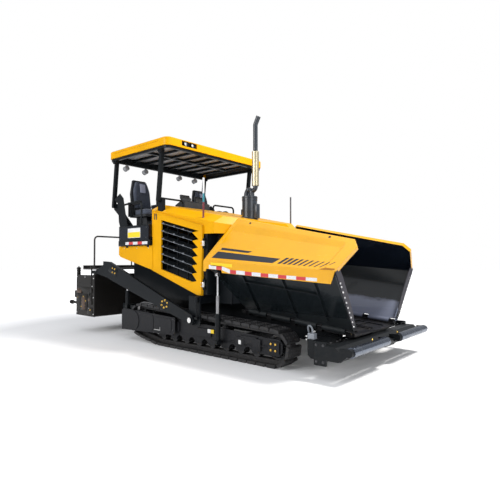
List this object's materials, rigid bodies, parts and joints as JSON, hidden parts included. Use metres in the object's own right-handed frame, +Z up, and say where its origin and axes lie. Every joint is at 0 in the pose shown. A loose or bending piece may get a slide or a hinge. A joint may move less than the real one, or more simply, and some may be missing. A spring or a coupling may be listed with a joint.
{
  "type": "tracked asphalt paver",
  "caption": "Tracked asphalt paver: folding hopper wings, push rollers, augers, tow arms with an extending screed, louvred doors and a folding canopy.",
  "frame": {"origin": "on the ground under the middle of the overall box", "axes": "+X forward to the hopper, +Y to the machine's left, +Z up"},
  "size_m": [6.666, 2.576, 3.919],
  "materials": {
    "yellow_paint": "gloss",
    "black_paint": "satin",
    "hopper_black": "gloss",
    "track_steel": "worn",
    "worn_steel": "worn",
    "rod_chrome": "polished",
    "shield_metal": "brushed",
    "screed_steel": "satin",
    "seat_cloth": "woven",
    "seat_shell": "matte"
  },
  "bodies": {
    "root": {"chassis": "black_paint", "track_frames": "black_paint", "drive_covers": "black_paint", "tow_guides": "black_paint", "body_posts": "black_paint", "platform": "black_paint", "console": "black_paint", "handrails": "black_paint", "canopy_bases": "black_paint", "auger_carrier": "black_paint", "levelling_cylinders": "black_paint", "exhaust": "black_paint", "hopper_floor": "worn_steel", "engine": "worn_steel", "sprockets": "track_steel", "idlers": "track_steel", "track_rollers": "track_steel", "hood": "yellow_paint", "rear_panels": "yellow_paint", "conveyor": "worn_steel", "seat_frames": "seat_shell", "seat_cushions": "seat_cloth", "heat_shield": "shield_metal", "marker_rods": "rod_chrome", "track_right": "track_steel", "track_left": "track_steel"},
    "push_beam": {"push_beam": "black_paint"},
    "canopy_front_posts": {"canopy_front_posts": "black_paint"},
    "canopy_rear_posts": {"canopy_rear_posts": "black_paint"},
    "canopy_roof": {"canopy_roof": "yellow_paint", "roof_frame": "black_paint", "roof_lamps": "rod_chrome"},
    "screed": {"screed": "black_paint", "screed_walkway": "black_paint", "tow_arms": "black_paint"},
    "wing_right": {"wing_plate_right": "hopper_black", "wing_panel_right": "yellow_paint"},
    "wing_barrel_right": {"wing_barrel_right": "black_paint"},
    "wing_stage_right": {"wing_stage_right": "worn_steel"},
    "wing_rod_right": {"wing_rod_right": "rod_chrome"},
    "push_roller_right": {"push_roller_right": "worn_steel"},
    "auger_right": {"auger_right": "track_steel"},
    "screed_extension_right": {"screed_extension_right": "screed_steel"},
    "lift_barrel_right": {"lift_barrel_right": "black_paint"},
    "lift_rod_right": {"lift_rod_right": "rod_chrome"},
    "engine_door_right": {"engine_door_right": "yellow_paint", "door_louvres_right": "black_paint"},
    "wing_left": {"wing_plate_left": "hopper_black", "wing_panel_left": "yellow_paint"},
    "wing_barrel_left": {"wing_barrel_left": "black_paint"},
    "wing_stage_left": {"wing_stage_left": "worn_steel"},
    "wing_rod_left": {"wing_rod_left": "rod_chrome"},
    "push_roller_left": {"push_roller_left": "worn_steel"},
    "auger_left": {"auger_left": "track_steel"},
    "screed_extension_left": {"screed_extension_left": "screed_steel"},
    "lift_barrel_left": {"lift_barrel_left": "black_paint"},
    "lift_rod_left": {"lift_rod_left": "rod_chrome"},
    "engine_door_left": {"engine_door_left": "yellow_paint", "door_louvres_left": "black_paint"}
  },
  "joints": [
    {"name": "wing_right_hinge", "type": "hinge", "parent": "root", "child": "wing_right", "pos_m": [1.265, -0.69, 0.66], "axis": [0.9963, 0, -0.0863], "range_deg": [0, 40]},
    {"name": "wing_right_barrel", "type": "hinge", "parent": "root", "child": "wing_barrel_right", "pos_m": [1.155, -1.24, 0.235], "axis": [1, 0, 0], "range_deg": [0, 25]},
    {"name": "wing_right_stage", "type": "slide", "parent": "wing_barrel_right", "child": "wing_stage_right", "axis": [0, 0, 1], "range_m": [-0.255, 0]},
    {"name": "wing_right_rod", "type": "slide", "parent": "wing_stage_right", "child": "wing_rod_right", "axis": [0, 0, 1], "range_m": [-0.19, 0]},
    {"name": "push_roller_right_spin", "type": "hinge", "parent": "push_beam", "child": "push_roller_right", "pos_m": [3.273, -0.72, 0.364], "axis": [0, 1, 0], "continuous": true},
    {"name": "auger_right_spin", "type": "hinge", "parent": "root", "child": "auger_right", "pos_m": [-1.8, -0.47, 0.345], "axis": [0, 1, 0], "continuous": true},
    {"name": "screed_extension_right_slide", "type": "slide", "parent": "screed", "child": "screed_extension_right", "axis": [0, -1, 0], "range_m": [0, 0.9]},
    {"name": "lift_right_barrel", "type": "hinge", "parent": "root", "child": "lift_barrel_right", "pos_m": [-1.285, -1.15, 0.592], "axis": [0, 1, 0], "range_deg": [-8, 0]},
    {"name": "lift_right_rod", "type": "slide", "parent": "lift_barrel_right", "child": "lift_rod_right", "axis": [0, 0, 1], "range_m": [-0.17, 0]},
    {"name": "engine_door_right_hinge", "type": "hinge", "parent": "root", "child": "engine_door_right", "pos_m": [0.742, -1.142, 1.38], "axis": [0, 0, 1], "range_deg": [0, 85]},
    {"name": "wing_left_hinge", "type": "hinge", "parent": "root", "child": "wing_left", "pos_m": [1.265, 0.69, 0.66], "axis": [-0.9963, 0, 0.0863], "range_deg": [0, 40]},
    {"name": "wing_left_barrel", "type": "hinge", "parent": "root", "child": "wing_barrel_left", "pos_m": [1.155, 1.24, 0.235], "axis": [-1, 0, 0], "range_deg": [0, 25]},
    {"name": "wing_left_stage", "type": "slide", "parent": "wing_barrel_left", "child": "wing_stage_left", "axis": [0, 0, 1], "range_m": [-0.255, 0]},
    {"name": "wing_left_rod", "type": "slide", "parent": "wing_stage_left", "child": "wing_rod_left", "axis": [0, 0, 1], "range_m": [-0.19, 0]},
    {"name": "push_roller_left_spin", "type": "hinge", "parent": "push_beam", "child": "push_roller_left", "pos_m": [3.273, 0.72, 0.364], "axis": [0, 1, 0], "continuous": true},
    {"name": "auger_left_spin", "type": "hinge", "parent": "root", "child": "auger_left", "pos_m": [-1.8, 0.47, 0.345], "axis": [0, 1, 0], "continuous": true},
    {"name": "screed_extension_left_slide", "type": "slide", "parent": "screed", "child": "screed_extension_left", "axis": [0, 1, 0], "range_m": [0, 0.9]},
    {"name": "lift_left_barrel", "type": "hinge", "parent": "root", "child": "lift_barrel_left", "pos_m": [-1.285, 1.15, 0.592], "axis": [0, 1, 0], "range_deg": [-8, 0]},
    {"name": "lift_left_rod", "type": "slide", "parent": "lift_barrel_left", "child": "lift_rod_left", "axis": [0, 0, 1], "range_m": [-0.17, 0]},
    {"name": "engine_door_left_hinge", "type": "hinge", "parent": "root", "child": "engine_door_left", "pos_m": [0.742, 1.142, 1.38], "axis": [0, 0, -1], "range_deg": [0, 85]},
    {"name": "push_beam_swing", "type": "hinge", "parent": "root", "child": "push_beam", "pos_m": [2.88, 0, 0.3], "axis": [0, 0, 1], "range_deg": [-5, 5]},
    {"name": "screed_lift", "type": "hinge", "parent": "root", "child": "screed", "pos_m": [0.574, 0, 0.51], "axis": [0, 1, 0], "range_deg": [-5, 0]},
    {"name": "canopy_fold", "type": "hinge", "parent": "root", "child": "canopy_front_posts", "pos_m": [-0.381, 0, 2.478], "axis": [0, -1, 0], "range_deg": [0, 60]},
    {"name": "canopy_rear_fold", "type": "hinge", "parent": "root", "child": "canopy_rear_posts", "pos_m": [-1.765, 0, 2.478], "axis": [0, -1, 0], "range_deg": [0, 60]},
    {"name": "canopy_roof_level", "type": "hinge", "parent": "canopy_front_posts", "child": "canopy_roof", "pos_m": [-0.291, 0, 3.33], "axis": [0, -1, 0], "range_deg": [-60, 0]}
  ],
  "couplings": [
    {"joint": "wing_right_barrel", "follows": "wing_right_hinge", "ratio": 0.615},
    {"joint": "wing_right_stage", "follows": "wing_right_hinge", "m_per_rad": -0.3581},
    {"joint": "wing_right_rod", "follows": "wing_right_hinge", "m_per_rad": -0.2636},
    {"joint": "lift_right_barrel", "follows": "screed_lift", "ratio": 1.49},
    {"joint": "lift_right_rod", "follows": "screed_lift", "m_per_rad": 1.849},
    {"joint": "wing_left_barrel", "follows": "wing_left_hinge", "ratio": 0.615},
    {"joint": "wing_left_stage", "follows": "wing_left_hinge", "m_per_rad": -0.3581},
    {"joint": "wing_left_rod", "follows": "wing_left_hinge", "m_per_rad": -0.2636},
    {"joint": "lift_left_barrel", "follows": "screed_lift", "ratio": 1.49},
    {"joint": "lift_left_rod", "follows": "screed_lift", "m_per_rad": 1.849},
    {"joint": "canopy_rear_fold", "follows": "canopy_fold", "ratio": 1},
    {"joint": "canopy_roof_level", "follows": "canopy_fold", "ratio": -1}
  ]
}
